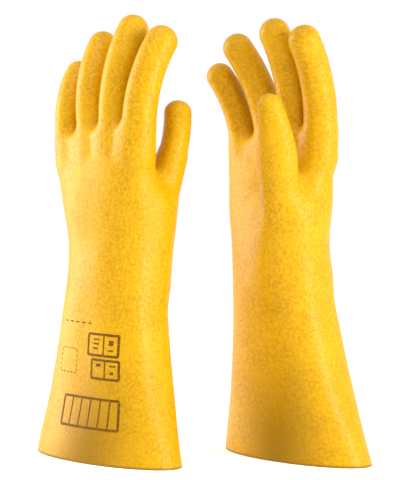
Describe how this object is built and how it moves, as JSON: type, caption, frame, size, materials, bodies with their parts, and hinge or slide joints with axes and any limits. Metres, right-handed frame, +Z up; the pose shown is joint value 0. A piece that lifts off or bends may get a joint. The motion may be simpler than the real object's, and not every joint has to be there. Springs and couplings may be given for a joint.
{
  "type": "electrical insulating gloves",
  "caption": "Pair of long moulded rubber insulating gloves with flared bell cuffs, pre-curved fingers and opposed thumbs, standing on their hems.",
  "frame": {"origin": "middle of the pair's bounding box, on the level surface that both hems stand on", "axes": "+Z up from the hems to the fingertips; +X from the left glove to the right glove; +Y back, away from the side where the back of the left glove and the palm of the right glove show"},
  "size_m": [0.2712, 0.1682, 0.356],
  "materials": {
    "rubber": "smooth dipped natural rubber, amber yellow, satin with a faint bloom",
    "marking_ink": "thin dark brown printed marking, drawn in the visual model only"
  },
  "bodies": {
    "left_gauntlet": {"left_cuff": "rubber", "left_sleeve": "rubber"},
    "left_palm": {"left_palm": "rubber", "left_knuckles": "rubber"},
    "left_index_base": {"left_index_base": "rubber"},
    "left_index_tip": {"left_index_tip": "rubber"},
    "left_middle_base": {"left_middle_base": "rubber"},
    "left_middle_tip": {"left_middle_tip": "rubber"},
    "left_ring_base": {"left_ring_base": "rubber"},
    "left_ring_tip": {"left_ring_tip": "rubber"},
    "left_little_base": {"left_little_base": "rubber"},
    "left_little_tip": {"left_little_tip": "rubber"},
    "left_thumb_base": {"left_thumb_base": "rubber"},
    "left_thumb_tip": {"left_thumb_tip": "rubber"},
    "right_gauntlet": {"right_cuff": "rubber", "right_sleeve": "rubber"},
    "right_palm": {"right_palm": "rubber", "right_knuckles": "rubber"},
    "right_index_base": {"right_index_base": "rubber"},
    "right_index_tip": {"right_index_tip": "rubber"},
    "right_middle_base": {"right_middle_base": "rubber"},
    "right_middle_tip": {"right_middle_tip": "rubber"},
    "right_ring_base": {"right_ring_base": "rubber"},
    "right_ring_tip": {"right_ring_tip": "rubber"},
    "right_little_base": {"right_little_base": "rubber"},
    "right_little_tip": {"right_little_tip": "rubber"},
    "right_thumb_base": {"right_thumb_base": "rubber"},
    "right_thumb_tip": {"right_thumb_tip": "rubber"}
  },
  "joints": [
    {"name": "left_wrist_bend", "type": "hinge", "parent": "left_gauntlet", "child": "left_palm", "pos_m": [-0.07721, -0.00308, 0.171], "axis": [-0.7071, 0.7071, 0], "range_deg": [-25, 16], "stiffness_Nm_per_rad": 2},
    {"name": "left_index_root_bend", "type": "hinge", "parent": "left_palm", "child": "left_index_base", "pos_m": [-0.06165, -0.03207, 0.272], "axis": [-0.7071, 0.7071, 0.0078], "range_deg": [-10, 20], "stiffness_Nm_per_rad": 0.35},
    {"name": "left_index_mid_bend", "type": "hinge", "parent": "left_index_base", "child": "left_index_tip", "pos_m": [-0.05703, -0.02782, 0.30586], "axis": [-0.7071, 0.7071, 0.0078], "range_deg": [-5, 30], "stiffness_Nm_per_rad": 0.2},
    {"name": "left_middle_root_bend", "type": "hinge", "parent": "left_palm", "child": "left_middle_base", "pos_m": [-0.0811, -0.01192, 0.275], "axis": [-0.7048, 0.7048, -0.0806], "range_deg": [-10, 25], "stiffness_Nm_per_rad": 0.35},
    {"name": "left_middle_mid_bend", "type": "hinge", "parent": "left_middle_base", "child": "left_middle_tip", "pos_m": [-0.0789, -0.00566, 0.3105], "axis": [-0.7048, 0.7048, -0.0806], "range_deg": [-5, 40], "stiffness_Nm_per_rad": 0.2},
    {"name": "left_ring_root_bend", "type": "hinge", "parent": "left_palm", "child": "left_ring_base", "pos_m": [-0.09983, 0.00823, 0.27], "axis": [-0.6835, 0.6835, -0.2561], "range_deg": [-10, 45], "stiffness_Nm_per_rad": 0.35},
    {"name": "left_ring_mid_bend", "type": "hinge", "parent": "left_ring_base", "child": "left_ring_tip", "pos_m": [-0.10081, 0.01886, 0.30097], "axis": [-0.6835, 0.6835, -0.2561], "range_deg": [-5, 60], "stiffness_Nm_per_rad": 0.2},
    {"name": "left_little_root_bend", "type": "hinge", "parent": "left_palm", "child": "left_little_base", "pos_m": [-0.11822, 0.02874, 0.259], "axis": [-0.6873, 0.6873, -0.235], "range_deg": [-10, 45], "stiffness_Nm_per_rad": 0.35},
    {"name": "left_little_mid_bend", "type": "hinge", "parent": "left_little_base", "child": "left_little_tip", "pos_m": [-0.1188, 0.0364, 0.28311], "axis": [-0.6873, 0.6873, -0.235], "range_deg": [-5, 60], "stiffness_Nm_per_rad": 0.2},
    {"name": "left_thumb_root_bend", "type": "hinge", "parent": "left_palm", "child": "left_thumb_base", "pos_m": [-0.03549, 0.00046, 0.24], "axis": [-0.6909, -0.6909, 0.2129], "range_deg": [-20, 15], "stiffness_Nm_per_rad": 0.35},
    {"name": "left_thumb_mid_bend", "type": "hinge", "parent": "left_thumb_base", "child": "left_thumb_tip", "pos_m": [-0.03211, 0.00313, 0.25965], "axis": [-0.6909, -0.6909, 0.2129], "range_deg": [-5, 20], "stiffness_Nm_per_rad": 0.2},
    {"name": "right_wrist_bend", "type": "hinge", "parent": "right_gauntlet", "child": "right_palm", "pos_m": [0.05458, 0.02571, 0.171], "axis": [0.7071, -0.7071, 0], "range_deg": [-25, 16], "stiffness_Nm_per_rad": 2},
    {"name": "right_index_root_bend", "type": "hinge", "parent": "right_palm", "child": "right_index_base", "pos_m": [0.08357, 0.01015, 0.272], "axis": [0.7071, -0.7071, -0.0078], "range_deg": [-10, 20], "stiffness_Nm_per_rad": 0.35},
    {"name": "right_index_mid_bend", "type": "hinge", "parent": "right_index_base", "child": "right_index_tip", "pos_m": [0.07933, 0.00553, 0.30586], "axis": [0.7071, -0.7071, -0.0078], "range_deg": [-5, 30], "stiffness_Nm_per_rad": 0.2},
    {"name": "right_middle_root_bend", "type": "hinge", "parent": "right_palm", "child": "right_middle_base", "pos_m": [0.06342, 0.0296, 0.275], "axis": [0.7048, -0.7048, 0.0806], "range_deg": [-10, 25], "stiffness_Nm_per_rad": 0.35},
    {"name": "right_middle_mid_bend", "type": "hinge", "parent": "right_middle_base", "child": "right_middle_tip", "pos_m": [0.05716, 0.0274, 0.3105], "axis": [0.7048, -0.7048, 0.0806], "range_deg": [-5, 40], "stiffness_Nm_per_rad": 0.2},
    {"name": "right_ring_root_bend", "type": "hinge", "parent": "right_palm", "child": "right_ring_base", "pos_m": [0.04327, 0.04834, 0.27], "axis": [0.6835, -0.6835, 0.2561], "range_deg": [-10, 45], "stiffness_Nm_per_rad": 0.35},
    {"name": "right_ring_mid_bend", "type": "hinge", "parent": "right_ring_base", "child": "right_ring_tip", "pos_m": [0.03264, 0.04931, 0.30097], "axis": [0.6835, -0.6835, 0.2561], "range_deg": [-5, 60], "stiffness_Nm_per_rad": 0.2},
    {"name": "right_little_root_bend", "type": "hinge", "parent": "right_palm", "child": "right_little_base", "pos_m": [0.02276, 0.06672, 0.259], "axis": [0.6873, -0.6873, 0.235], "range_deg": [-10, 45], "stiffness_Nm_per_rad": 0.35},
    {"name": "right_little_mid_bend", "type": "hinge", "parent": "right_little_base", "child": "right_little_tip", "pos_m": [0.0151, 0.0673, 0.28311], "axis": [0.6873, -0.6873, 0.235], "range_deg": [-5, 60], "stiffness_Nm_per_rad": 0.2},
    {"name": "right_thumb_root_bend", "type": "hinge", "parent": "right_palm", "child": "right_thumb_base", "pos_m": [0.05104, -0.01601, 0.24], "axis": [-0.6909, -0.6909, -0.2129], "range_deg": [-20, 15], "stiffness_Nm_per_rad": 0.35},
    {"name": "right_thumb_mid_bend", "type": "hinge", "parent": "right_thumb_base", "child": "right_thumb_tip", "pos_m": [0.04837, -0.01939, 0.25965], "axis": [-0.6909, -0.6909, -0.2129], "range_deg": [-5, 20], "stiffness_Nm_per_rad": 0.2},
    {"name": "pair_part", "type": "slide", "parent": "left_gauntlet", "child": "right_gauntlet", "axis": [1, 0, 0], "range_m": [0, 0.1]}
  ]
}
